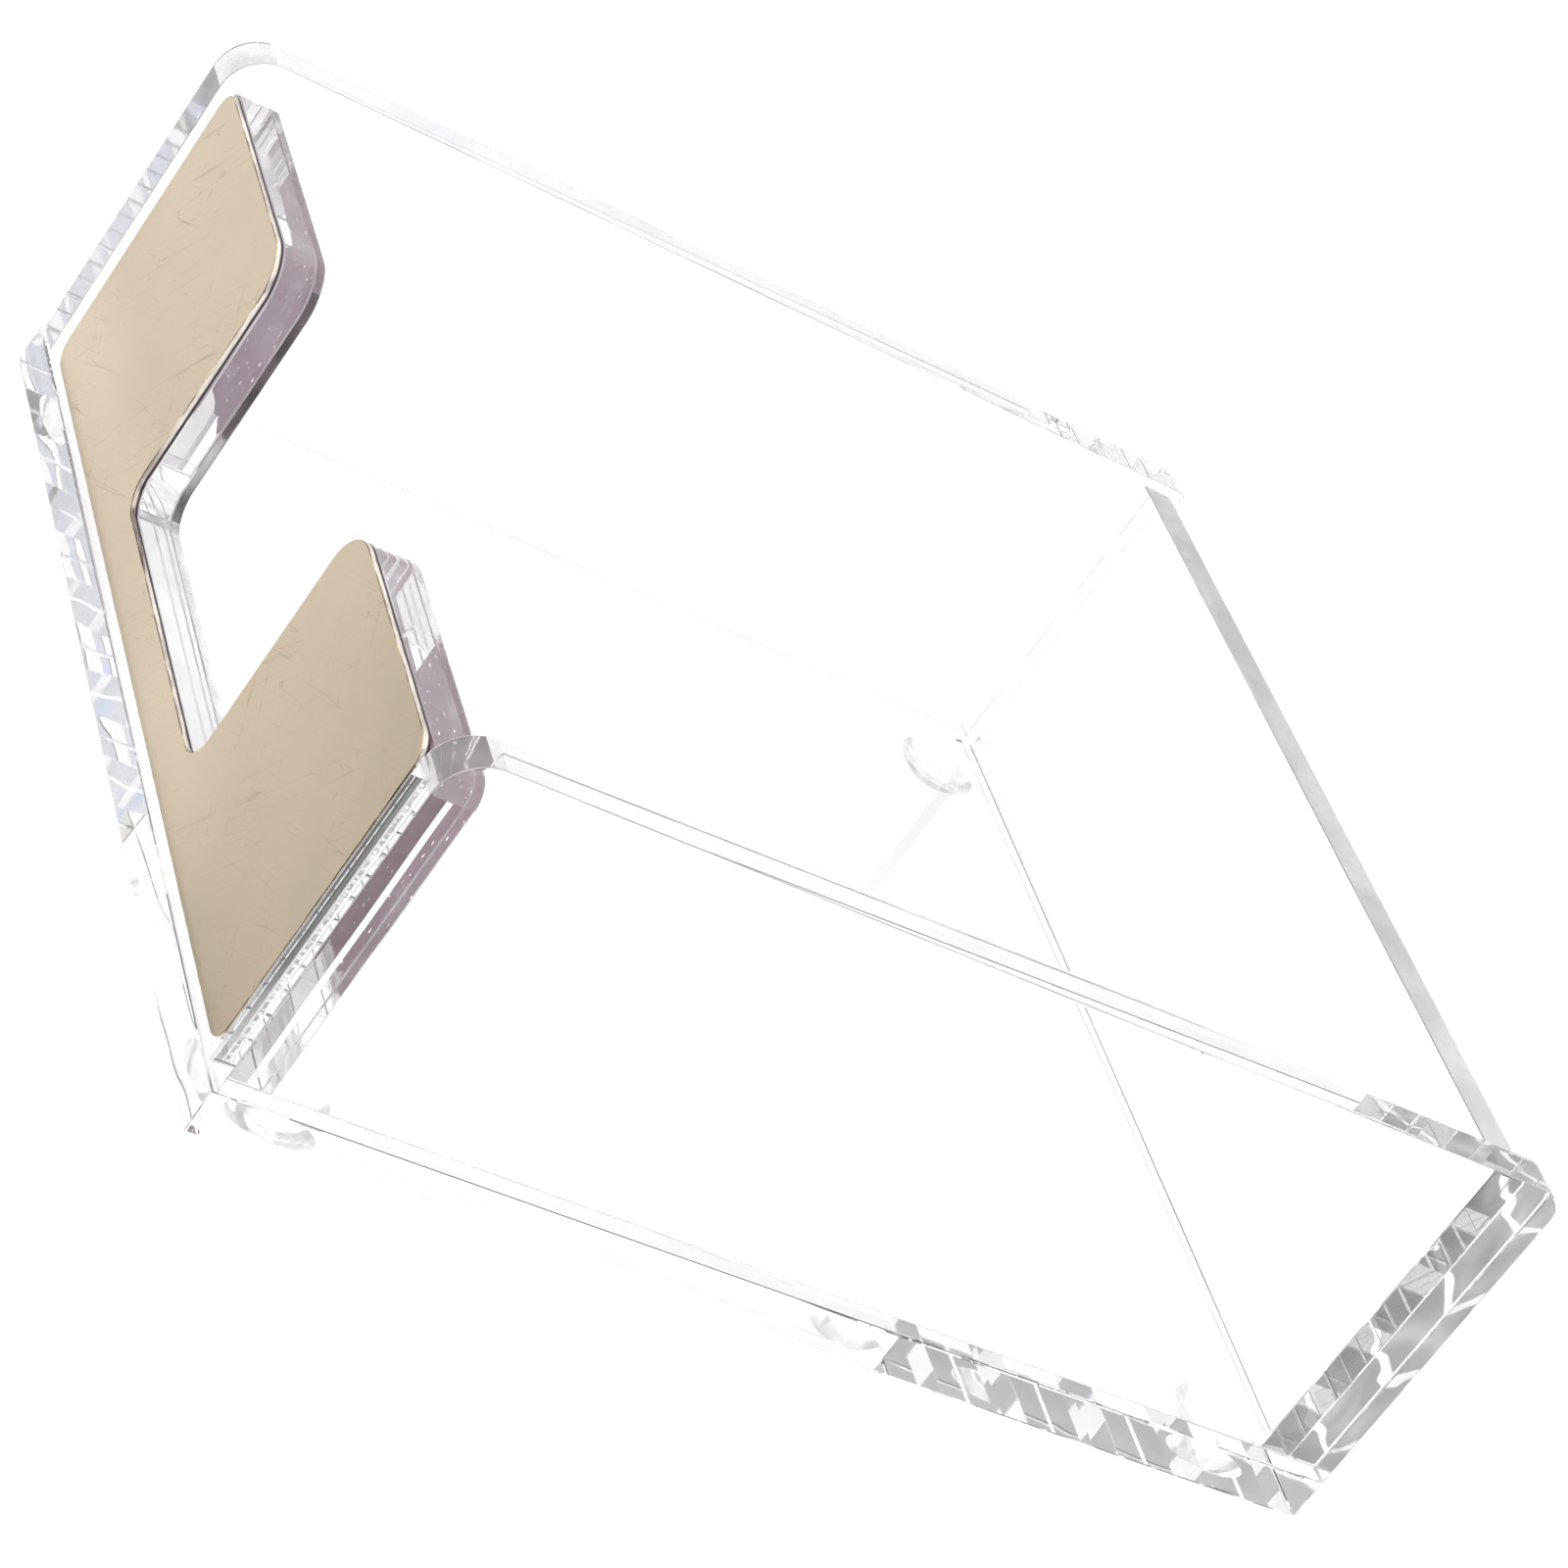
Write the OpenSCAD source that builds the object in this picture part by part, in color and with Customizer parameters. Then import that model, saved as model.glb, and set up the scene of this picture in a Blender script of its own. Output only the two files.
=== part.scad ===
// Open-top card box of clear sheet acrylic with a notched metal face plate.
// Five polished sheets are cemented edge to face: a bottom, two side walls, a back and a
// front. A thin metal plate is bonded to the front by an adhesive film, and front, film
// and plate share one finger notch, open at the top. Four clear domed bumper feet are
// stuck under the corners of the bottom sheet.
// Origin: on the table, below the centre. +X to the right wall, -Y to the metal face, +Z up.

/* [Overall size] */
// Width over the outer faces of the side walls
box_w = 130; // [100:1:180]
// Depth of the bottom plate
box_d = 131; // [100:1:180]
// Height of the side walls above the table
box_h = 48; // [40:1:80]

/* [Sheet thickness] */
// Side walls
wall_t = 5; // [3:0.5:6]
// Bottom plate
bottom_t = 5; // [3:0.5:6]
// Front plate, without the film and the metal
front_t = 5; // [3:0.5:6]
// Back plate
back_t = 4; // [3:0.5:6]
// Metal face plate
face_t = 0.6; // [0.4:0.1:1.5]
// Adhesive film between the front plate and the metal
film_t = 0.2; // [0.1:0.1:0.4]

/* [Edges and set-backs] */
// Bottom plate in front of the side walls
ledge = 0.5; // [0:0.1:2]
// Metal face behind the front ends of the side walls
face_setback = 0.5; // [0:0.1:2]
// Back plate in front of the rear ends of the side walls
back_setback = 3.5; // [0:0.5:5]
// Top of the front plate below the top of the side walls
front_drop = 4; // [0:0.5:6]
// Top of the back plate below the top of the side walls
back_drop = 1; // [0:0.5:3]
// Gap between the metal face and each side wall
face_gap = 1.3; // [0.5:0.1:2]
// Gap between the metal face and the bottom plate
face_lift = 0.4; // [0.2:0.1:2]

/* [Feet] */
// Radius of a bumper foot where it is stuck on
foot_r = 5; // [4:0.5:6]
// Height of a bumper foot
foot_h = 2; // [1:0.5:3]
// Radius of the flat, under the dome, that rests on the table
foot_flat_r = 2; // [1:0.5:2.5]
// Foot centre to each outer edge of the bottom plate
foot_inset = 10; // [7:0.5:20]

/* [Corner radii] */
// Top front corners of the side walls
wall_front_r = 5; // [2:0.5:8]
// Top rear corners of the side walls
wall_rear_r = 3; // [2:0.5:8]
// Outer corners of the front plate, the film and the metal
face_r = 2.5; // [1:0.5:4]

/* [Finger notch] */
// Width between the straight sides
notch_w = 46; // [30:1:56]
// Height of the notch floor above the bottom plate
notch_sill = 6; // [3:0.5:12]
// Rounded shoulders at the mouth
notch_mouth_r = 5; // [1:0.5:6]
// Rounded corners of the floor
notch_floor_r = 3.5; // [1:0.5:6]

/* [Hidden] */

$fn = 96;

// Overlap of a cutter past the face that it opens
past = 1;

inner_w = box_w - 2 * wall_t;
wall_front = -box_d / 2 + ledge;
wall_d = box_d - ledge;
deck = foot_h + bottom_t;
front_top = box_h - front_drop;
notch_floor = deck + notch_sill;
face_front = wall_front + face_setback;
film_front = face_front + face_t;
plate_front = film_front + film_t;
back_front = box_d / 2 - back_setback - back_t;
foot_x = box_w / 2 - foot_inset;
foot_y = box_d / 2 - foot_inset;
foot_dome_z = (foot_r * foot_r - foot_flat_r * foot_flat_r + foot_h * foot_h) / (2 * foot_h);
foot_dome_r = sqrt(foot_flat_r * foot_flat_r + foot_dome_z * foot_dome_z);

// What lies outside the arc in a square corner whose tip is at the origin and whose
// sides run along +X and +Y
module corner_waste(r) {
    difference() {
        translate([-past, -past])
            square(r + past);
        translate([r, r])
            circle(r);
    }
}

// Rectangle from x0 to x1 and z0 to z1 with its two top corners rounded
module round_topped(x0, x1, z0, z1, r_low_x, r_high_x) {
    difference() {
        translate([x0, z0])
            square([x1 - x0, z1 - z0]);
        translate([x0, z1])
            mirror([0, 1])
                corner_waste(r_low_x);
        translate([x1, z1])
            rotate(180)
                corner_waste(r_high_x);
    }
}

// Finger notch: straight sides, rounded floor corners and rounded shoulders at the mouth
module notch_outline() {
    difference() {
        translate([-notch_w / 2, notch_floor])
            square([notch_w, front_top - notch_floor + past]);
        for (side = [0, 1])
            mirror([side, 0])
                translate([-notch_w / 2, notch_floor])
                    corner_waste(notch_floor_r);
    }
    for (side = [0, 1])
        mirror([side, 0])
            translate([notch_w / 2, front_top])
                mirror([0, 1])
                    corner_waste(notch_mouth_r);
}

// Stands an outline drawn in X and Z up as a sheet from y to y + t
module sheet_facing_front(y, t) {
    translate([0, y + t, 0])
        rotate([90, 0, 0])
            linear_extrude(t)
                children();
}

// Outline of the metal plate and of the film behind it
module face_outline() {
    half = inner_w / 2 - face_gap;
    base = deck + face_lift;
    difference() {
        round_topped(-half, half, base, front_top, face_r, face_r);
        for (side = [0, 1])
            mirror([side, 0])
                translate([-half, base])
                    corner_waste(face_r);
        notch_outline();
    }
}

module side_wall() {
    rotate([90, 0, 90])
        linear_extrude(wall_t)
            round_topped(wall_front, wall_front + wall_d, deck, box_h, wall_front_r, wall_rear_r);
}

// Domed foot with a small flat that rests on the table
module bumper_foot(x, y) {
    color("whitesmoke", 0.6)
        translate([x, y, 0])
            rotate_extrude()
                intersection() {
                    square([foot_r, foot_h]);
                    translate([0, foot_dome_z])
                        circle(foot_dome_r);
                }
}

module foot_front_left() {
    bumper_foot(-foot_x, -foot_y);
}

module foot_front_right() {
    bumper_foot(foot_x, -foot_y);
}

module foot_rear_left() {
    bumper_foot(-foot_x, foot_y);
}

module foot_rear_right() {
    bumper_foot(foot_x, foot_y);
}

module bottom_plate() {
    color("azure", 0.4)
        translate([-box_w / 2, -box_d / 2, foot_h])
            cube([box_w, box_d, bottom_t]);
}

module left_wall() {
    color("azure", 0.4)
        translate([-box_w / 2, 0, 0])
            side_wall();
}

module right_wall() {
    color("azure", 0.4)
        translate([box_w / 2 - wall_t, 0, 0])
            side_wall();
}

module back_plate() {
    color("azure", 0.4)
        translate([-inner_w / 2, back_front, deck])
            cube([inner_w, back_t, box_h - back_drop - deck]);
}

module front_plate() {
    color("azure", 0.4)
        sheet_facing_front(plate_front, front_t)
            difference() {
                round_topped(-inner_w / 2, inner_w / 2, deck, front_top, face_r, face_r);
                notch_outline();
            }
}

module adhesive_film() {
    color("rosybrown")
        sheet_facing_front(film_front, film_t)
            face_outline();
}

module face_plate() {
    color("burlywood")
        sheet_facing_front(face_front, face_t)
            face_outline();
}

bottom_plate();
left_wall();
right_wall();
back_plate();
front_plate();
adhesive_film();
face_plate();
foot_front_left();
foot_front_right();
foot_rear_left();
foot_rear_right();
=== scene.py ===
import math

import bmesh
import bpy
from mathutils import Matrix, Vector


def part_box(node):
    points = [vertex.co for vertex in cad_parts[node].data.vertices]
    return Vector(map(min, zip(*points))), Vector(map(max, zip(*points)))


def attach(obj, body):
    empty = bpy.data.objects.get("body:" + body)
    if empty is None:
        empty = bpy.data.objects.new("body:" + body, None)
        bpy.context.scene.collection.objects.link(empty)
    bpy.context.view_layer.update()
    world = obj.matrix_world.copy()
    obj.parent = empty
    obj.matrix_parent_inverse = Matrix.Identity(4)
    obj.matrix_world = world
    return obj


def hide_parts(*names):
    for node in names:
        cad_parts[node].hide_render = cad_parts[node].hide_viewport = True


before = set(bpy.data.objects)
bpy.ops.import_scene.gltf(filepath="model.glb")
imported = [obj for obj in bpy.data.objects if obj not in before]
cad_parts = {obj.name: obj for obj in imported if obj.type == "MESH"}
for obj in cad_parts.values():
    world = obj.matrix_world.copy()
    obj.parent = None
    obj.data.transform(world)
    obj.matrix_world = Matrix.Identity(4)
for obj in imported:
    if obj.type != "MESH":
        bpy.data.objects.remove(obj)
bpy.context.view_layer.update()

MM = 0.001
RIM = 0.22 * MM          # polished-off arris on every sheet edge
EPS = 0.03 * MM          # closer than this counts as the same place
ACRYLIC_IOR = 1.49
DRY_TO = 2.05 * MM       # the front sheet's joint: how far back the missed cement line reaches,
LINE_TO = 2.7 * MM       # and the whitened line behind it

b_lo, b_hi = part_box("bottom_plate")
l_lo, l_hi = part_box("left_wall")
r_lo, r_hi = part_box("right_wall")
k_lo, k_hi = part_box("back_plate")
s_lo, s_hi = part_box("front_plate")
a_lo, a_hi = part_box("adhesive_film")
g_lo, g_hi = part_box("face_plate")
FOOT_NODES = ["foot_front_left", "foot_front_right", "foot_rear_left", "foot_rear_right"]
FEET = [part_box(node) for node in FOOT_NODES]
FOOT_R = (FEET[0][1].x - FEET[0][0].x) / 2

# ---------------------------------------------------------------- node helpers


class Nodes:
    """Short way to wire a node tree."""

    def __init__(self, tree):
        self.tree = tree
        tree.nodes.clear()

    def add(self, kind, **sets):
        n = self.tree.nodes.new(kind)
        for key, value in sets.items():
            setattr(n, key, value)
        return n

    def link(self, a, b):
        self.tree.links.new(a, b)

    def math(self, op, a, b=None, c=None):
        n = self.add("ShaderNodeMath", operation=op)
        for i, v in enumerate((a, b, c)):
            if v is None:
                continue
            if isinstance(v, (int, float)):
                n.inputs[i].default_value = v
            else:
                self.link(v, n.inputs[i])
        return n.outputs[0]

    def coord(self, scale=(1, 1, 1), turn=(0, 0, 0)):
        tc = self.add("ShaderNodeTexCoord")
        turned = self.add("ShaderNodeMapping")
        turned.inputs["Rotation"].default_value = turn
        self.link(tc.outputs["Object"], turned.inputs["Vector"])
        mp = self.add("ShaderNodeMapping")
        mp.inputs["Scale"].default_value = scale
        self.link(turned.outputs["Vector"], mp.inputs["Vector"])
        return mp.outputs["Vector"]

    def noise(self, where, scale, detail=2.0, rough=0.5, distort=0.0):
        n = self.add("ShaderNodeTexNoise")
        n.inputs["Scale"].default_value = scale
        n.inputs["Detail"].default_value = detail
        n.inputs["Roughness"].default_value = rough
        n.inputs["Distortion"].default_value = distort
        self.link(where, n.inputs["Vector"])
        return n.outputs["Fac"]

    def ramp(self, fac, stops):
        n = self.add("ShaderNodeValToRGB")
        els = n.color_ramp.elements
        while len(els) > 1:
            els.remove(els[-1])
        els[0].position, els[0].color = stops[0][0], (*stops[0][1], 1)
        for pos, col in stops[1:]:
            e = els.new(pos)
            e.color = (*col, 1)
        self.link(fac, n.inputs["Fac"])
        return n.outputs["Color"]

    def span(self, fac, lo, hi, to_lo, to_hi):
        n = self.add("ShaderNodeMapRange")
        n.inputs["From Min"].default_value = lo
        n.inputs["From Max"].default_value = hi
        n.inputs["To Min"].default_value = to_lo
        n.inputs["To Max"].default_value = to_hi
        self.link(fac, n.inputs["Value"])
        return n.outputs["Result"]

    def bump(self, height, strength, distance, base=None):
        n = self.add("ShaderNodeBump")
        n.inputs["Strength"].default_value = strength
        n.inputs["Distance"].default_value = distance
        self.link(height, n.inputs["Height"])
        if base is not None:
            self.link(base, n.inputs["Normal"])
        return n.outputs["Normal"]


def material(name):
    m = bpy.data.materials.new(name)
    m.use_nodes = True
    return m, Nodes(m.node_tree)


def hairlines(n, scale, turn, thin):
    """Mask of long thin scratches in one direction."""
    where = n.coord(scale=scale, turn=turn)
    f = n.noise(where, 1.0, 1.0, 0.4, 0.25)
    ridge = n.math("ABSOLUTE", n.math("SUBTRACT", f, 0.5))
    return n.span(ridge, 0.0, thin, 1.0, 0.0)


# ---------------------------------------------------------------- materials


def clear_glassy(n, wave_mm, wave_scale, roughness, tint, scratched):
    """Clear plastic shader, its surface waving by wave_mm over 1 / wave_scale metres."""
    p = n.add("ShaderNodeBsdfPrincipled")
    p.inputs["Base Color"].default_value = (*tint, 1)
    p.inputs["Transmission Weight"].default_value = 1.0
    p.inputs["IOR"].default_value = ACRYLIC_IOR
    where = n.coord()
    wave = n.noise(where, wave_scale, 0.5, 0.4, 0.3)
    haze = n.noise(where, 300, 2.0)
    bump = n.bump(wave, 1.0, wave_mm * MM)
    rough = n.span(haze, 0.35, 0.7, roughness * 0.5, roughness * 1.5)
    if scratched:
        scratch = hairlines(n, (420, 30, 420), (0.3, 0.9, 0.5), 0.0025)
        seldom = n.span(n.noise(where, 45, 1.0), 0.60, 0.66, 0.0, 1.0)
        scratch = n.math("MULTIPLY", scratch, seldom)
        bump = n.bump(scratch, 0.15, 0.001 * MM, bump)
        rough = n.math("MULTIPLY_ADD", scratch, 0.05, rough)
    n.link(rough, p.inputs["Roughness"])
    n.link(bump, p.inputs["Normal"])
    return p.outputs[0]


def clear_acrylic(name, wave_mm, wave_scale, roughness, tint=(1, 1, 1), scratched=False):
    m, n = material(name)
    out = n.add("ShaderNodeOutputMaterial")
    n.link(clear_glassy(n, wave_mm, wave_scale, roughness, tint, scratched), out.inputs["Surface"])
    return m


def see_through(n):
    return n.add("ShaderNodeBsdfTransparent").outputs[0]


def blend_by(n, mask, a, b):
    mix = n.add("ShaderNodeMixShader")
    n.link(mask, mix.inputs[0])
    n.link(a, mix.inputs[1])
    n.link(b, mix.inputs[2])
    return mix.outputs[0]


def place(n):
    split = n.add("ShaderNodeSeparateXYZ")
    tc = n.add("ShaderNodeTexCoord")
    n.link(tc.outputs["Object"], split.inputs[0])
    return split.outputs


def between(n, v, lo, hi):
    return n.math("MULTIPLY", n.math("GREATER_THAN", v, lo), n.math("LESS_THAN", v, hi))


def veil(n, colour):
    soft = n.add("ShaderNodeBsdfTranslucent")
    soft.inputs["Color"].default_value = (*colour, 1)
    return soft.outputs[0]


def chalk(n, colour, through=0.45):
    """Whitening that shows from either side, lit from behind by the share through."""
    skin = n.add("ShaderNodeBsdfDiffuse")
    skin.inputs["Color"].default_value = (*colour, 1)
    mix = n.add("ShaderNodeMixShader")
    mix.inputs[0].default_value = through
    n.link(skin.outputs[0], mix.inputs[1])
    n.link(veil(n, colour), mix.inputs[2])
    return mix.outputs[0]


def cemented_joint():
    """Contact faces: solvent cement leaves no optical boundary there, only a faint whitening."""
    m, n = material("cemented_joint")
    out = n.add("ShaderNodeOutputMaterial")
    cloud = n.noise(n.coord(), 180, 2.5, 0.6)
    fac = n.span(cloud, 0.38, 0.68, 0.04, 0.16)
    n.link(blend_by(n, fac, see_through(n), chalk(n, (0.97, 0.97, 0.98))), out.inputs["Surface"])
    return m


def smear(n):
    """Cement run down the rear joint: grey and cloudy, crossed by clear slanting streaks."""
    _, y, z = place(n)
    sway = n.math("MULTIPLY", n.noise(n.coord(), 170, 1.5, 0.5, 0.6), 4.5 * MM)
    slant = n.math("ADD", n.math("MULTIPLY_ADD", y, 0.88, z), sway)
    turn = n.math("FRACT", n.math("MULTIPLY_ADD", slant, 1 / (10.8 * MM), 0.15))
    off = n.math("ABSOLUTE", n.math("SUBTRACT", turn, 0.5))
    cloud = n.noise(n.coord(scale=(1, 1, 0.6)), 130, 1.5, 0.5, 1.2)
    shade = n.add("ShaderNodeBsdfTranslucent")
    n.link(
        n.ramp(cloud, [(0.36, (0.27, 0.27, 0.27)), (0.5, (0.38, 0.38, 0.385)), (0.64, (0.58, 0.58, 0.585))]),
        shade.inputs["Color"],
    )
    return n.span(off, 0.045, 0.075, 0.12, 0.9), shade.outputs[0]


def smeared_strip():
    """Wall face behind the back sheet."""
    m, n = material("acrylic_smeared_strip")
    out = n.add("ShaderNodeOutputMaterial")
    fac, shade = smear(n)
    n.link(blend_by(n, fac, clear_glassy(n, 0.01, 200, 0.05, (1, 1, 1), False), shade), out.inputs["Surface"])
    return m


def smeared_joint():
    """End of the back sheet, where the same cement shows through the wall."""
    m, n = material("smeared_joint")
    out = n.add("ShaderNodeOutputMaterial")
    fac, shade = smear(n)
    n.link(blend_by(n, fac, see_through(n), shade), out.inputs["Surface"])
    return m


def wall_foot_joint():
    """Side walls' feet: a whitened cement line, which lets light out of the walls."""
    m, n = material("wall_foot_joint")
    out = n.add("ShaderNodeOutputMaterial")
    cloud = n.noise(n.coord(), 120, 2.5, 0.6)
    fac = n.span(cloud, 0.38, 0.66, 0.08, 0.22)
    n.link(blend_by(n, fac, see_through(n), chalk(n, (0.98, 0.98, 0.99))), out.inputs["Surface"])
    return m


def hazy_glass(
    name, wave_mm, wave_scale, roughness, haze, tint=(1, 1, 1), skin=(0.97, 0.97, 0.98), through=0.45
):
    """Clear plastic whose skin also scatters a little light."""
    m, n = material(name)
    out = n.add("ShaderNodeOutputMaterial")
    cloud = n.noise(n.coord(), 90, 2.0, 0.5)
    fac = n.span(cloud, 0.35, 0.65, haze * 0.6, haze * 1.4)
    glass = clear_glassy(n, wave_mm, wave_scale, roughness, tint, False)
    n.link(blend_by(n, fac, glass, chalk(n, skin, through)), out.inputs["Surface"])
    return m


def sawn_joint():
    """Walls' contact with the front sheet's ends, which were sawn before they were cemented. The
    cement missed a line along the front; a dim mauve veil over it, and a near-black veil where it is
    seen at a slant, paint the shade where light cannot cross the air in it. A whitened line follows,
    and then fine saw ticks that show at a slant only."""
    m, n = material("sawn_joint")
    out = n.add("ShaderNodeOutputMaterial")
    _, y, z = place(n)
    fresnel = n.add("ShaderNodeFresnel")
    fresnel.inputs["IOR"].default_value = ACRYLIC_IOR
    slant = n.span(fresnel.outputs[0], 0.15, 0.6, 0.0, 1.0)
    sway = n.math("MULTIPLY_ADD", n.noise(n.coord(), 60, 1.0), 0.3 * MM, -0.15 * MM)
    depth = n.math("SUBTRACT", n.math("ADD", y, sway), s_lo.y)
    streak = n.noise(n.coord(scale=(1, 1500, 40)), 1.0, 1.5, 0.5)
    fade = n.span(z, b_hi.z + 3 * MM, b_hi.z + 12 * MM, 0.3, 1.0)
    dry = n.math("LESS_THAN", depth, DRY_TO)
    uneven = n.math("MULTIPLY", n.span(streak, 0.40, 0.60, 0.78, 1.0), fade)
    # dark and dim: painted shade over the dry line, near black at a slant and dim mauve throughout
    dark = n.math("MULTIPLY", n.math("MULTIPLY", dry, slant), uneven)
    dim = n.math("MULTIPLY", between(n, depth, 0.0, DRY_TO), 0.36)
    ticks = n.noise(n.coord(scale=(1, 260, 2600)), 1.0, 2.0, 0.6)
    sawn = n.math("MULTIPLY", n.math("GREATER_THAN", depth, LINE_TO), n.span(ticks, 0.42, 0.58, 0.1, 0.9))
    body = blend_by(n, dim, see_through(n), veil(n, (0.20, 0.12, 0.16)))
    body = blend_by(n, n.math("MULTIPLY", sawn, slant), body, chalk(n, (0.50, 0.49, 0.52)))
    mirror = n.add("ShaderNodeBsdfGlossy")
    mirror.inputs["Color"].default_value = (0.95, 0.95, 0.96, 1)
    mirror.inputs["Roughness"].default_value = 0.12
    white = n.add("ShaderNodeMixShader")
    white.inputs[0].default_value = 0.25
    n.link(mirror.outputs[0], white.inputs[1])
    n.link(chalk(n, (0.98, 0.98, 0.99)), white.inputs[2])
    body = blend_by(n, between(n, depth, DRY_TO, LINE_TO), body, white.outputs[0])
    # painted shade: near-black veil over the dry line where it is seen at a slant
    body = blend_by(n, dark, body, veil(n, (0.02, 0.02, 0.023)))
    n.link(body, out.inputs["Surface"])
    return m


def shaded_gap():
    """Right wall's inner face beside the metal: a narrow strip that the metal keeps in its shade."""
    m, n = material("acrylic_shaded_gap")
    out = n.add("ShaderNodeOutputMaterial")
    z = place(n)[2]
    streak = n.noise(n.coord(scale=(1, 1500, 40)), 1.0, 1.5, 0.5)
    fade = n.span(z, b_hi.z + 3 * MM, b_hi.z + 12 * MM, 0.25, 1.0)
    fac = n.math("MULTIPLY", n.span(streak, 0.40, 0.60, 0.8, 1.0), fade)
    glass = clear_glassy(n, 0.004, 200, 0.02, (1, 1, 1), False)
    n.link(blend_by(n, fac, glass, veil(n, (0.02, 0.02, 0.023))), out.inputs["Surface"])
    return m


def flamed_corner():
    """Left wall's front corner, flamed so soft that hardly any edge shows."""
    m, n = material("acrylic_flamed_corner")
    out = n.add("ShaderNodeOutputMaterial")
    fac = n.span(n.noise(n.coord(), 110, 2.0, 0.5), 0.35, 0.65, 0.55, 0.85)
    glass = clear_glassy(n, 0.01, 140, 0.05, (1, 1, 1), False)
    soft = blend_by(n, fac, glass, see_through(n))
    thin = n.span(n.noise(n.coord(), 260, 2.0, 0.5), 0.35, 0.65, 0.10, 0.35)
    n.link(blend_by(n, thin, soft, chalk(n, (0.97, 0.97, 0.98))), out.inputs["Surface"])
    return m


def wetted_face():
    """Front sheet's face behind the metal: the film has wetted it in most places, with a ragged
    lower border and a dry strip by the notch, where the sheet's own polish shows again."""
    m, n = material("face_wetted_by_film")
    out = n.add("ShaderNodeOutputMaterial")
    x, _, z = place(n)
    rag = n.noise(n.coord(), 220, 2.5, 0.6)
    slope = n.math("MULTIPLY_ADD", x, -0.04, s_lo.z + 5.4 * MM)
    border = n.math("GREATER_THAN", z, n.math("MULTIPLY_ADD", rag, 6 * MM, slope))
    beside_notch = between(n, x, 15 * MM, 29 * MM)
    dry = n.math("MULTIPLY", beside_notch, between(n, z, s_lo.z + 11 * MM, s_lo.z + 28 * MM))
    bubble = n.math("GREATER_THAN", n.noise(n.coord(), 1100, 0.5), 0.72)
    dry = n.math("MAXIMUM", dry, bubble)
    wet = n.math("MULTIPLY", border, n.math("SUBTRACT", 1.0, dry))
    glass = clear_glassy(n, 0.002, 60, 0.01, (1, 1, 1), False)
    n.link(blend_by(n, wet, glass, see_through(n)), out.inputs["Surface"])
    return m


def underside():
    """Bottom sheet's underside: the feet are stuck on without a gap."""
    m, n = material("acrylic_underside")
    out = n.add("ShaderNodeOutputMaterial")
    x, y, _ = place(n)
    stuck = None
    for lo, hi in FEET:
        dx = n.math("SUBTRACT", x, (lo.x + hi.x) / 2)
        dy = n.math("SUBTRACT", y, (lo.y + hi.y) / 2)
        d = n.math("SQRT", n.math("ADD", n.math("MULTIPLY", dx, dx), n.math("MULTIPLY", dy, dy)))
        here = n.math("LESS_THAN", d, FOOT_R - 0.05 * MM)
        stuck = here if stuck is None else n.math("MAXIMUM", stuck, here)
    glass = clear_glassy(n, 0.0015, 40, 0.003, (1, 1, 1), True)
    n.link(blend_by(n, stuck, glass, see_through(n)), out.inputs["Surface"])
    return m


def clear_bumper():
    """Soft clear foot, faintly cloudy; its top is stuck to the bottom sheet."""
    m, n = material("clear_bumper")
    out = n.add("ShaderNodeOutputMaterial")
    z = place(n)[2]
    stuck = n.math("GREATER_THAN", z, b_lo.z - 0.01 * MM)
    cloud = n.span(n.noise(n.coord(), 400, 2.0), 0.35, 0.65, 0.45, 0.70)
    glass = clear_glassy(n, 0.01, 500, 0.06, (0.95, 0.955, 0.96), False)
    soft = blend_by(n, cloud, glass, veil(n, (0.95, 0.95, 0.96)))
    n.link(blend_by(n, stuck, soft, see_through(n)), out.inputs["Surface"])
    return m


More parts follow.
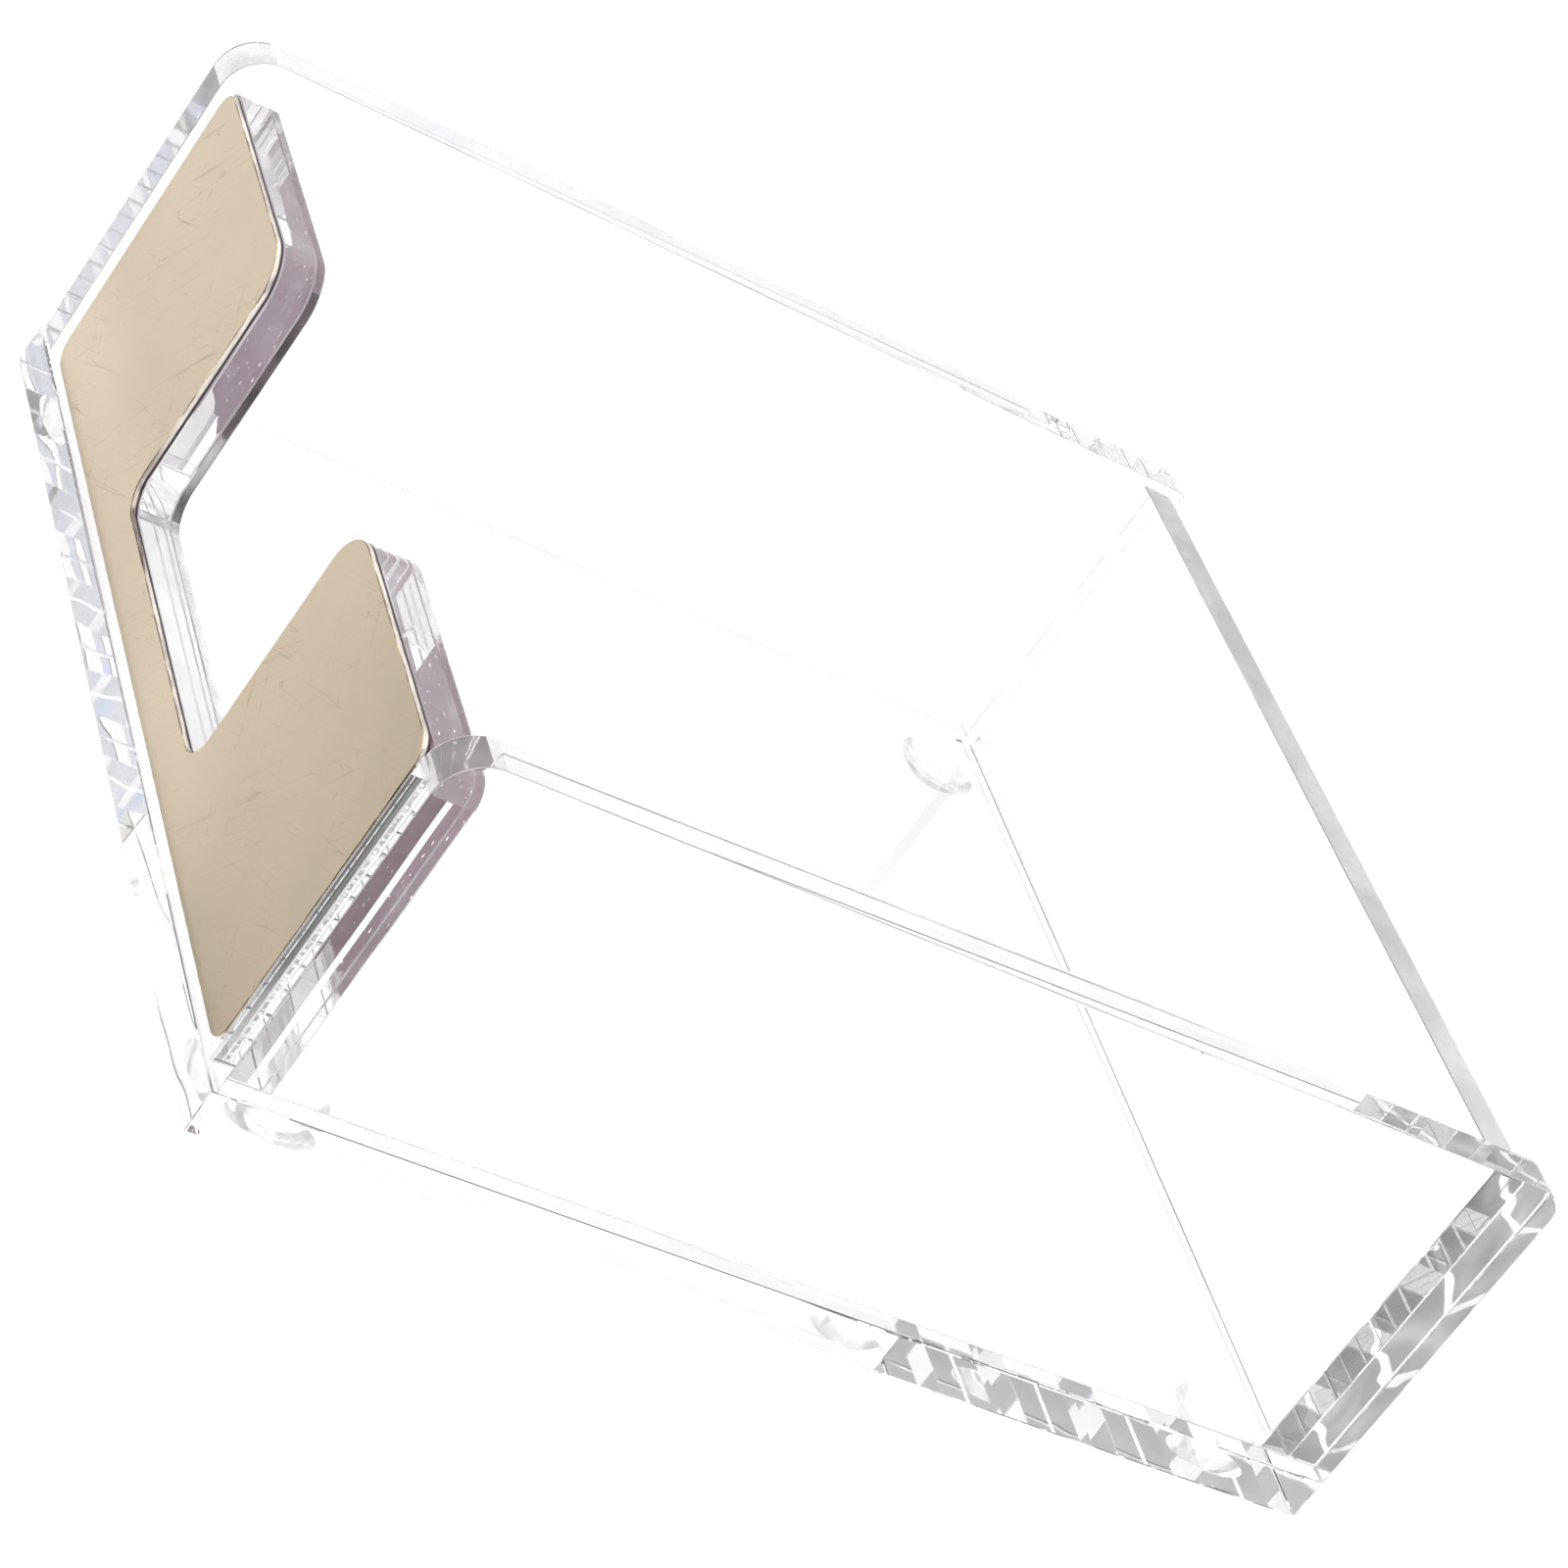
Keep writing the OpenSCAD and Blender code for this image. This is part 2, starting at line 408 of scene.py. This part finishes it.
def champagne_gold():
    """Satin metal with rubbed marks; painted light makes it lighter to the left and along its foot, and painted
    shade makes it darker at the right.
    """
    m, n = material("champagne_gold")
    out = n.add("ShaderNodeOutputMaterial")
    p = n.add("ShaderNodeBsdfPrincipled")
    p.inputs["Metallic"].default_value = 1.0
    where = n.coord()
    cloud = n.noise(where, 22, 4, 0.55)
    smudge = n.noise(where, 75, 5, 0.6, 0.6)
    grain = n.noise(n.coord(scale=(90, 2200, 2200)), 1.0, 3, 0.6)
    lines_a = hairlines(n, (26, 900, 800), (0, 0.93, 0), 0.007)
    lines_b = hairlines(n, (34, 900, 900), (0, -0.75, 0), 0.005)
    lines_c = hairlines(n, (30, 900, 700), (0, 0.45, 0), 0.006)
    marks = n.math("MAXIMUM", n.math("MAXIMUM", lines_a, lines_b), lines_c)
    worn = n.math("MULTIPLY", marks, n.span(smudge, 0.40, 0.64, 0.05, 1.0))
    tone = n.math("ADD", n.math("MULTIPLY", cloud, 0.5), n.math("MULTIPLY", smudge, 0.5))
    x, _, z = place(n)
    # painted light and shade: lighter to the left, darker beyond x = 30 mm, lighter along the foot left of x =
    # 45 mm
    tone = n.math("ADD", tone, n.span(x, g_lo.x, g_hi.x, 0.28, 0.12))
    tone = n.math("ADD", tone, n.span(x, 30 * MM, 55 * MM, 0.0, -0.22))
    foot = n.span(z, g_lo.z + 6 * MM, g_lo.z + 14 * MM, 0.20, 0.0)
    low = n.math("MULTIPLY", foot, n.span(x, 10 * MM, 45 * MM, 1, 0))
    tone = n.math("ADD", tone, low)
    base = n.ramp(
        tone, [(0.34, (0.365, 0.302, 0.214)), (0.66, (0.465, 0.388, 0.278)), (1.0, (0.585, 0.492, 0.362))]
    )
    mix = n.add("ShaderNodeMix", data_type="RGBA")
    n.link(n.math("MULTIPLY", worn, 0.55), mix.inputs[0])
    n.link(base, mix.inputs[6])
    mix.inputs[7].default_value = (0.30, 0.245, 0.17, 1)
    n.link(mix.outputs[2], p.inputs["Base Color"])
    rough = n.span(smudge, 0.3, 0.7, 0.30, 0.42)
    n.link(n.math("MULTIPLY_ADD", worn, 0.12, rough), p.inputs["Roughness"])
    bump = n.bump(grain, 0.25, 0.004 * MM)
    bump = n.bump(worn, 0.5, 0.006 * MM, bump)
    n.link(bump, p.inputs["Normal"])
    n.link(p.outputs[0], out.inputs["Surface"])
    return m


def bare_metal(name, stops):
    """Edges of the metal, without the satin of its face."""
    m, n = material(name)
    out = n.add("ShaderNodeOutputMaterial")
    p = n.add("ShaderNodeBsdfPrincipled")
    p.inputs["Metallic"].default_value = 1.0
    where = n.coord(scale=(1, 6, 1))
    tone = n.noise(where, 240, 3.0, 0.6)
    n.link(n.ramp(tone, stops), p.inputs["Base Color"])
    n.link(n.span(tone, 0.3, 0.7, 0.16, 0.34), p.inputs["Roughness"])
    n.link(n.bump(tone, 0.4, 0.01 * MM), p.inputs["Normal"])
    n.link(p.outputs[0], out.inputs["Surface"])
    return m


def mauve_film():
    """Cloudy mauve adhesive; its edge faces, in the crease between the metal and the sheet, are painted near
    black as shade.
    """
    m, n = material("mauve_adhesive")
    out = n.add("ShaderNodeOutputMaterial")
    p = n.add("ShaderNodeBsdfPrincipled")
    where = n.coord()
    cloud = n.noise(where, 160, 4, 0.6, 0.4)
    spots = n.noise(where, 900, 2, 0.5)
    tone = n.math("ADD", n.math("MULTIPLY", cloud, 0.85), n.math("MULTIPLY", spots, 0.15))
    base = n.ramp(tone, [(0.32, (0.34, 0.19, 0.26)), (0.5, (0.48, 0.30, 0.385)), (0.68, (0.75, 0.56, 0.65))])
    geo = n.add("ShaderNodeNewGeometry")
    split = n.add("ShaderNodeSeparateXYZ")
    n.link(geo.outputs["True Normal"], split.inputs[0])
    # edge faces get painted shade: near black, in the crease between metal and sheet
    edge = n.math("LESS_THAN", n.math("ABSOLUTE", split.outputs["Y"]), 0.5)
    mix = n.add("ShaderNodeMix", data_type="RGBA")
    n.link(edge, mix.inputs[0])
    n.link(base, mix.inputs[6])
    mix.inputs[7].default_value = (0.03, 0.025, 0.028, 1)
    n.link(mix.outputs[2], p.inputs["Base Color"])
    n.link(n.span(cloud, 0.3, 0.7, 0.4, 0.6), p.inputs["Roughness"])
    n.link(n.bump(spots, 0.15, 0.006 * MM), p.inputs["Normal"])
    n.link(p.outputs[0], out.inputs["Surface"])
    return m


FACE = clear_acrylic("acrylic_polished_face", 0.0015, 40, 0.003, scratched=True)
EDGE = hazy_glass("acrylic_polished_edge", 0.005, 50, 0.02, 0.14)
WALL_TOP = hazy_glass("acrylic_polished_top", 0.001, 50, 0.01, 0.05)
LEFT_FRONT = hazy_glass("acrylic_polished_front", 0.003, 40, 0.04, 0.50, skin=(0.93, 0.94, 0.98), through=0.3)
RIGHT_FRONT = hazy_glass("acrylic_clear_front", 0.002, 50, 0.01, 0.02)
ARRIS = hazy_glass("acrylic_eased_arris", 0.003, 300, 0.10, 0.55)
LEFT_CORNER = flamed_corner()
HORN_TOP = hazy_glass("acrylic_polished_horn", 0.006, 90, 0.03, 0.28)
# its haze is a real whitening; its mauve skin is a painted reflection of the film seen in the corner
RIGHT_CORNER = hazy_glass("acrylic_clear_corner_painted_film_reflection", 0.01, 140, 0.02, 0.42, skin=(0.78, 0.71, 0.75))
NOTCH_BED = hazy_glass("acrylic_notch_bed", 0.003, 60, 0.04, 0.45)
SMEARED = smeared_strip()
SMEARED_JOINT = smeared_joint()
WALL_FOOT = wall_foot_joint()
WAVY = hazy_glass("acrylic_flamed_side", 0.06, 75, 0.01, 0.03)
FRONT_EDGE = hazy_glass("acrylic_flamed_front", 0.20, 62, 0.01, 0.24)
GROUND = clear_acrylic("acrylic_ground_edge", 0.03, 900, 0.25, (0.93, 0.93, 0.94))
# near-black skin on the +x face of the notch's rear strip: painted shade, that one side darker than the rest of
# the ground edge
GROUND_SIDE_IN_SHADE = hazy_glass("acrylic_ground_notch_side_painted_shade", 0.02, 400, 0.20, 0.85, skin=(0.10, 0.102, 0.09))
SAWN = hazy_glass("acrylic_sawn_edge", 0.002, 300, 0.15, 0.60, (0.8, 0.8, 0.8), (0.60, 0.60, 0.605))
JOINT = cemented_joint()
SAWN_JOINT = sawn_joint()
SHADED = shaded_gap()
WETTED = wetted_face()
UNDER = underside()
BUMPER = clear_bumper()
GOLD = champagne_gold()
# rim bevel: mostly dark olive stops, a painted dark outline of shade along the metal's edge
GOLD_RIM_IN_SHADE = bare_metal(
    "champagne_gold_rim_painted_shade", [(0.35, (0.14, 0.11, 0.06)), (0.5, (0.30, 0.24, 0.14)), (0.66, (0.80, 0.66, 0.42))]
)
GOLD_SIDE = bare_metal(
    "champagne_gold_side", [(0.35, (0.52, 0.45, 0.42)), (0.5, (0.76, 0.69, 0.66)), (0.65, (0.92, 0.87, 0.84))]
)
FILM = mauve_film()

# ---------------------------------------------------------------- sheet shapes


def arc(cx, cz, r, a0, a1, n=20):
    turns = [math.radians(a0 + (a1 - a0) * i / n) for i in range(n + 1)]
    return [(cx + r * math.cos(a), cz + r * math.sin(a)) for a in turns]


def inset_outline(outline, d):
    """Counter-clockwise outline moved inwards by a small distance d."""
    moved = []
    for i, (u, v) in enumerate(outline):
        (u0, v0), (u1, v1) = outline[i - 1], outline[(i + 1) % len(outline)]
        a, b = Vector((u - u0, v - v0)).normalized(), Vector((u1 - u, v1 - v)).normalized()
        na, nb = Vector((-a.y, a.x)), Vector((-b.y, b.x))
        k = (na + nb) / max(1e-9, 1 + na.dot(nb))
        moved.append((u + k.x * d, v + k.y * d))
    return moved


def solid(name, outline, t, to_world, rim=RIM, groove=None):
    """Sheet of thickness t over a flat outline, every sharp edge eased. A groove at depth w
    runs round it as a fine V."""
    bm = bmesh.new()
    rings = [(0, 0)]
    if groove:
        w, half, deep = groove
        rings += [(w - half, 0), (w, deep), (w + half, 0)]
    rings.append((t, 0))
    loops = [[bm.verts.new((u, v, w)) for u, v in inset_outline(outline, d)] for w, d in rings]
    low, high = loops[0], loops[-1]
    bm.faces.new(low[::-1])
    bm.faces.new(high)
    for below, above in zip(loops, loops[1:]):
        for i in range(len(below)):
            j = (i + 1) % len(below)
            bm.faces.new((below[i], below[j], above[j], above[i]))
    bmesh.ops.recalc_face_normals(bm, faces=bm.faces)
    corners = [e for e in bm.edges if e.calc_face_angle(0) > math.radians(70)]
    ends = (0.0, high[0].co.z)
    sharp = corners if groove is None else [e for e in corners if all(v.co.z in ends for v in e.verts)]
    bmesh.ops.bevel(bm, geom=sharp, offset=rim, segments=2, profile=0.6, affect="EDGES", clamp_overlap=True)
    bmesh.ops.transform(bm, matrix=to_world, verts=bm.verts)
    if to_world.determinant() < 0:
        bmesh.ops.reverse_faces(bm, faces=bm.faces)
    me = bpy.data.meshes.new(name)
    bm.to_mesh(me)
    bm.free()
    ob = bpy.data.objects.new(name, me)
    bpy.context.collection.objects.link(ob)
    return ob


def joints(ob, contacts, finish):
    """Cuts the contact patches into the sheet. finish(centre, normal) gives the other faces'
    materials."""
    me = ob.data
    slots = []

    def index(m):
        if m not in slots:
            slots.append(m)
            me.materials.append(m)
        return slots.index(m)

    bm = bmesh.new()
    bm.from_mesh(me)
    for lo, hi, _ in contacts:
        for k in range(3):
            if hi[k] - lo[k] < EPS:
                continue
            normal = Vector([1.0 if i == k else 0.0 for i in range(3)])
            for cut in (lo[k], hi[k]):
                co = Vector([cut if i == k else 0.0 for i in range(3)])
                everything = bm.verts[:] + bm.edges[:] + bm.faces[:]
                bmesh.ops.bisect_plane(bm, geom=everything, plane_co=co, plane_no=normal, dist=1e-7)
    for f in bm.faces:
        c, nrm = f.calc_center_median(), f.normal
        chosen = finish(c, nrm)
        for lo, hi, m in contacts:
            k = min(range(3), key=lambda i: hi[i] - lo[i])
            inside = all(lo[i] - EPS <= c[i] <= hi[i] + EPS for i in range(3))
            if inside and abs(nrm[k]) > 0.98:
                chosen = m
        f.material_index = index(chosen)
    bm.to_mesh(me)
    bm.free()
    for p in me.polygons:
        p.use_smooth = True
    me.set_sharp_from_angle(angle=math.radians(15))
    w = ob.modifiers.new("even_faces", "WEIGHTED_NORMAL")
    w.keep_sharp = True
    w.weight = 100


def finish_piece(ob, node):
    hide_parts(node)
    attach(ob, "root")


# sheets lie in plane (u, v) and grow along w
FACING_FRONT = Matrix(((1, 0, 0, 0), (0, 0, 1, 0), (0, 1, 0, 0), (0, 0, 0, 1)))
FACING_SIDE = Matrix(((0, 0, 1, 0), (1, 0, 0, 0), (0, 1, 0, 0), (0, 0, 0, 1)))


def at(x=0, y=0, z=0):
    return Matrix.Translation((x, y, z))


WALL_FRONT_R, WALL_REAR_R, FACE_R = 5 * MM, 3 * MM, 2.5 * MM
NOTCH_HALF, NOTCH_FLOOR, MOUTH_R, FLOOR_R = 23 * MM, s_lo.z + 6 * MM, 5 * MM, 3.5 * MM


def wall_outline(lo, hi):
    return (
        [(lo.y, lo.z), (hi.y, lo.z)]
        + arc(hi.y - WALL_REAR_R, hi.z - WALL_REAR_R, WALL_REAR_R, 0, 90)
        + arc(lo.y + WALL_FRONT_R, hi.z - WALL_FRONT_R, WALL_FRONT_R, 90, 180)
    )


def notched_outline(lo, hi, rounded_foot):
    """Front outline, counter-clockwise from the lower left."""
    top = hi.z
    pts = arc(lo.x + FACE_R, lo.z + FACE_R, FACE_R, 180, 270) if rounded_foot else [(lo.x, lo.z)]
    pts += arc(hi.x - FACE_R, lo.z + FACE_R, FACE_R, 270, 360) if rounded_foot else [(hi.x, lo.z)]
    pts += arc(hi.x - FACE_R, top - FACE_R, FACE_R, 0, 90)
    pts += arc(NOTCH_HALF + MOUTH_R, top - MOUTH_R, MOUTH_R, 90, 180)
    pts += arc(NOTCH_HALF - FLOOR_R, NOTCH_FLOOR + FLOOR_R, FLOOR_R, 0, -90)
    pts += arc(-NOTCH_HALF + FLOOR_R, NOTCH_FLOOR + FLOOR_R, FLOOR_R, -90, -180)
    pts += arc(-NOTCH_HALF - MOUTH_R, top - MOUTH_R, MOUTH_R, 0, 90)
    pts += arc(lo.x + FACE_R, top - FACE_R, FACE_R, 90, 180)
    return pts


# contact patches, each kept inside the eased edges
GROOVE_AT, GROOVE_HALF, GROOVE_DEEP = 1.15 * MM, 0.12 * MM, 0.12 * MM


def foot_print(lo, hi, m):
    return (Vector((lo.x + RIM, lo.y + RIM, b_hi.z)), Vector((hi.x - RIM, hi.y - RIM, b_hi.z)), m)


def end_print(x, lo, hi, m, drop=0.0, cut=0.0):
    return (Vector((x, lo.y + RIM, lo.z + RIM)), Vector((x, hi.y - RIM - cut, hi.z - RIM - drop)), m)


def on_wall(x, m):
    """The back sheet's print and the front sheet's two prints, before its groove in material m and
    behind it."""
    fore = end_print(x, s_lo, s_hi, m, FACE_R - RIM, GROOVE_AT + GROOVE_HALF - RIM)
    aft_lo = Vector((x, s_hi.y - GROOVE_AT + GROOVE_HALF, s_lo.z + RIM))
    aft_hi = Vector((x, s_hi.y - RIM, s_hi.z - FACE_R))
    return [end_print(x, k_lo, k_hi, JOINT), fore, (aft_lo, aft_hi, JOINT)]


def wall_finish(c, nrm):
    if abs(nrm.x) > 0.9:
        return FACE
    if abs(nrm.x) > 0.2:
        return ARRIS
    if c.z > l_hi.z - WALL_FRONT_R and c.y < l_lo.y + WALL_FRONT_R:
        return LEFT_CORNER if c.x < 0 else RIGHT_CORNER
    if nrm.z > 0.9:
        return WALL_TOP
    if nrm.y < -0.9:
        return LEFT_FRONT if c.x < 0 else RIGHT_FRONT
    return EDGE


def bottom_finish(c, nrm):
    if nrm.z < -0.9:
        return UNDER
    if nrm.z > 0.9:
        return FACE
    return FRONT_EDGE if nrm.y < -0.5 else WAVY


def front_finish(c, nrm):
    if abs(nrm.y) > 0.9:
        return FACE
    if c.y > s_hi.y - GROOVE_AT + GROOVE_HALF:
        # the +x-facing side of the notch's rear strip takes the painted-shade finish
        return GROUND_SIDE_IN_SHADE if nrm.x > 0.5 and abs(c.x) < NOTCH_HALF + MM else GROUND
    if abs(nrm.y) > 0.2:
        return ARRIS
    if nrm.z > 0.9:
        return NOTCH_BED if c.z < NOTCH_FLOOR + MM else HORN_TOP
    return EDGE


def back_finish(c, nrm):
    if nrm.z > 0.9:
        return SAWN
    return FACE if abs(nrm.y) > 0.9 else EDGE


def behind_back(x, lo, hi):
    return (Vector((x, k_hi.y, lo.z + RIM)), Vector((x, hi.y - RIM, k_hi.z - RIM)), SMEARED)


beside_metal = (
    Vector((r_lo.x, r_lo.y + RIM, b_hi.z + RIM)),
    Vector((r_lo.x, s_lo.y - 0.05 * MM, s_hi.z - FACE_R)),
    SHADED,
)
under_left = foot_print(l_lo, l_hi, WALL_FOOT)
under_right = foot_print(r_lo, r_hi, WALL_FOOT)
under_back = foot_print(k_lo, k_hi, JOINT)
under_front = (
    Vector((s_lo.x + RIM, s_lo.y + RIM, b_hi.z)),
    Vector((s_hi.x - RIM, s_hi.y - GROOVE_AT - GROOVE_HALF, b_hi.z)),
    JOINT,
)
under_rear = (
    Vector((s_lo.x + RIM, s_hi.y - GROOVE_AT + GROOVE_HALF, b_hi.z)),
    Vector((s_hi.x - RIM, s_hi.y - RIM, b_hi.z)),
    JOINT,
)
bottom = solid(
    "bottom_sheet",
    [(b_lo.x, b_lo.y), (b_hi.x, b_lo.y), (b_hi.x, b_hi.y), (b_lo.x, b_hi.y)],
    b_hi.z - b_lo.z,
    at(z=b_lo.z),
)
joints(bottom, [under_left, under_right, under_back, under_front, under_rear], bottom_finish)
left = solid("left_side_sheet", wall_outline(l_lo, l_hi), l_hi.x - l_lo.x, at(x=l_lo.x) @ FACING_SIDE)
joints(left, on_wall(l_hi.x, SAWN_JOINT) + [under_left], wall_finish)
right = solid("right_side_sheet", wall_outline(r_lo, r_hi), r_hi.x - r_lo.x, at(x=r_lo.x) @ FACING_SIDE)
joints(
    right,
    on_wall(r_lo.x, SAWN_JOINT) + [under_right, behind_back(r_lo.x, r_lo, r_hi), beside_metal],
    wall_finish,
)
back = solid(
    "back_sheet",
    [(k_lo.x, k_lo.z), (k_hi.x, k_lo.z), (k_hi.x, k_hi.z), (k_lo.x, k_hi.z)],
    k_hi.y - k_lo.y,
    at(y=k_lo.y) @ FACING_FRONT,
)
back_left, back_right = end_print(k_lo.x, k_lo, k_hi, JOINT), end_print(k_hi.x, k_lo, k_hi, SMEARED_JOINT)
joints(back, [back_left, back_right, under_back], back_finish)
slab_face = s_lo.y + 0.02 * MM     # a hair clear of the film, so that its dry spots can mirror
hair = Vector((0.01 * MM, 0, 0))   # and of the walls, so that their side of the joint is met first
thick = s_hi.y - slab_face
front = solid(
    "front_sheet",
    notched_outline(s_lo + hair, s_hi - hair, False),
    thick,
    at(y=slab_face) @ FACING_FRONT,
    groove=(thick - GROOVE_AT, GROOVE_HALF, GROOVE_DEEP),
)
under_film = (Vector((a_lo.x, slab_face, a_lo.z)), Vector((a_hi.x, slab_face, a_hi.z)), WETTED)
joints(
    front,
    on_wall(s_lo.x, JOINT)[1:] + on_wall(s_hi.x, JOINT)[1:] + [under_front, under_rear, under_film],
    front_finish,
)

gold = solid(
    "gold_face_sheet", notched_outline(g_lo, g_hi, True), g_hi.y - g_lo.y, at(y=g_lo.y) @ FACING_FRONT, 0.1 * MM
)
for look in (GOLD, GOLD_RIM_IN_SHADE, GOLD_SIDE):
    gold.data.materials.append(look)
for p in gold.data.polygons:
    p.use_smooth = True
    p.material_index = 0 if abs(p.normal.y) > 0.97 else 1 if abs(p.normal.y) > 0.2 else 2
gold.data.set_sharp_from_angle(angle=math.radians(50))
w = gold.modifiers.new("even_faces", "WEIGHTED_NORMAL")
w.keep_sharp = True
w.weight = 100

for ob, node, slot in (
    (bottom, "bottom_plate", "clear_acrylic"),
    (left, "left_wall", "clear_acrylic"),
    (right, "right_wall", "clear_acrylic"),
    (back, "back_plate", "clear_acrylic"),
    (front, "front_plate", "clear_acrylic"),
    (gold, "face_plate", "champagne_gold"),
):
    finish_piece(ob, node)

for node, look in [("adhesive_film", FILM)] + [(foot, BUMPER) for foot in FOOT_NODES]:
    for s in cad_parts[node].material_slots:
        s.material = look

# ---------------------------------------------------------------- studio

AZIMUTH, ELEVATION, ROLL = 57.04, 22.67, 37.02   # fitted to the photo's straight edges, degrees
DISTANCE = 0.528
TARGET = Vector((0.0013, 0.0075, 0.0319))
LENS, SHIFT_X, SHIFT_Y = 117.23, -0.0438, -0.0270

floor_me = bpy.data.meshes.new("floor")
bm = bmesh.new()
bmesh.ops.create_circle(bm, cap_ends=True, segments=96, radius=4.0)
bm.to_mesh(floor_me)
bm.free()
floor = bpy.data.objects.new("floor", floor_me)
bpy.context.collection.objects.link(floor)
floor.location.z = -0.05 * MM
m, n = material("floor_white")
out = n.add("ShaderNodeOutputMaterial")
p = n.add("ShaderNodeBsdfPrincipled")
p.inputs["Base Color"].default_value = (0.35, 0.35, 0.35, 1)
p.inputs["Roughness"].default_value = 0.9
p.inputs["Specular IOR Level"].default_value = 0.0
p.inputs["Emission Color"].default_value = (1, 1, 1, 1)
p.inputs["Emission Strength"].default_value = 0.93
n.link(p.outputs[0], out.inputs["Surface"])
floor_me.materials.append(m)

az = math.radians(AZIMUTH)
ahead = Vector((-math.sin(az), math.cos(az), 0))
world = bpy.data.worlds.new("studio")
bpy.context.scene.world = world
world.use_nodes = True
n = Nodes(world.node_tree)
out = n.add("ShaderNodeOutputWorld")
bg = n.add("ShaderNodeBackground")
tc = n.add("ShaderNodeTexCoord")
way = tc.outputs["Generated"]
flat = n.add("ShaderNodeVectorMath", operation="MULTIPLY")
flat.inputs[1].default_value = (1, 1, 0)
n.link(way, flat.inputs[0])
unit = n.add("ShaderNodeVectorMath", operation="NORMALIZE")
n.link(flat.outputs[0], unit.inputs[0])
dot = n.add("ShaderNodeVectorMath", operation="DOT_PRODUCT")
n.link(unit.outputs[0], dot.inputs[0])
dot.inputs[1].default_value = ahead
split = n.add("ShaderNodeSeparateXYZ")
n.link(way, split.inputs[0])
patches = n.noise(way, 2.6, 1.0, 0.5)
side = n.add("ShaderNodeVectorMath", operation="DOT_PRODUCT")
n.link(unit.outputs[0], side.inputs[0])
side.inputs[1].default_value = Vector((math.cos(az), math.sin(az), 0))
dark = n.ramp(patches, [(0.42, (0.055, 0.055, 0.055)), (0.52, (0.13, 0.13, 0.135)), (0.62, (0.42, 0.42, 0.43))])
light = n.ramp(patches, [(0.38, (0.38, 0.41, 0.50)), (0.50, (0.60, 0.63, 0.72)), (0.60, (0.95, 0.96, 1.0))])
RAINBOW = [
    (0.57, (1, 1, 1)),
    (0.60, (1.35, 1.0, 0.62)),
    (0.63, (1.3, 1.25, 0.9)),
    (0.66, (0.62, 0.82, 1.4)),
    (0.69, (1, 1, 1)),
]
glint = n.ramp(n.noise(way, 7.0, 0.5, 0.5), RAINBOW)
lit = n.add("ShaderNodeMix", data_type="RGBA", blend_type="MULTIPLY")
lit.inputs[0].default_value = 1.0
n.link(light, lit.inputs[6])
n.link(glint, lit.inputs[7])
light = lit.outputs[2]
room_mix = n.add("ShaderNodeMix", data_type="RGBA")
n.link(n.span(side.outputs["Value"], -0.3, 0.3, 0, 1), room_mix.inputs[0])
n.link(dark, room_mix.inputs[6])
n.link(light, room_mix.inputs[7])
room = room_mix.outputs[2]
backdrop = n.span(dot.outputs["Value"], 0.55, 0.80, 0, 1)
behind = n.add("ShaderNodeMix", data_type="RGBA")
n.link(backdrop, behind.inputs[0])
n.link(room, behind.inputs[6])
n.link(
    n.ramp(patches, [(0.38, (0.95, 0.95, 0.95)), (0.50, (1.1, 1.1, 1.105)), (0.62, (1.3, 1.3, 1.3))]),
    behind.inputs[7],
)
overhead = n.span(split.outputs["Z"], 0.42, 0.66, 0, 1)
sky = n.add("ShaderNodeMix", data_type="RGBA")
n.link(overhead, sky.inputs[0])
n.link(behind.outputs[2], sky.inputs[6])
sky.inputs[7].default_value = (1.4, 1.4, 1.4, 1)
n.link(sky.outputs[2], bg.inputs["Color"])
bg.inputs["Strength"].default_value = 1.0
n.link(bg.outputs[0], out.inputs["Surface"])

cam_data = bpy.data.cameras.new("camera")
cam = bpy.data.objects.new("camera", cam_data)
bpy.context.collection.objects.link(cam)
el, roll = math.radians(ELEVATION), math.radians(ROLL)
look = Vector((-math.sin(az) * math.cos(el), math.cos(az) * math.cos(el), -math.sin(el)))
level = look.cross(Vector((0, 0, 1))).normalized()
up = level.cross(look)
cx = level * math.cos(roll) + up * math.sin(roll)
cy = -level * math.sin(roll) + up * math.cos(roll)
m4 = Matrix((cx, cy, -look)).transposed().to_4x4()
m4.translation = TARGET - look * DISTANCE
cam.matrix_world = m4
cam_data.sensor_width = 36
cam_data.lens = LENS
cam_data.shift_x, cam_data.shift_y = SHIFT_X, SHIFT_Y
cam_data.clip_start, cam_data.clip_end = 0.01, 20
scene = bpy.context.scene
scene.camera = cam
scene.view_settings.view_transform = "Standard"
scene.view_settings.look = "None"
scene.cycles.max_bounces = 32
scene.cycles.transmission_bounces = 32
scene.cycles.glossy_bounces = 16
scene.cycles.transparent_max_bounces = 48
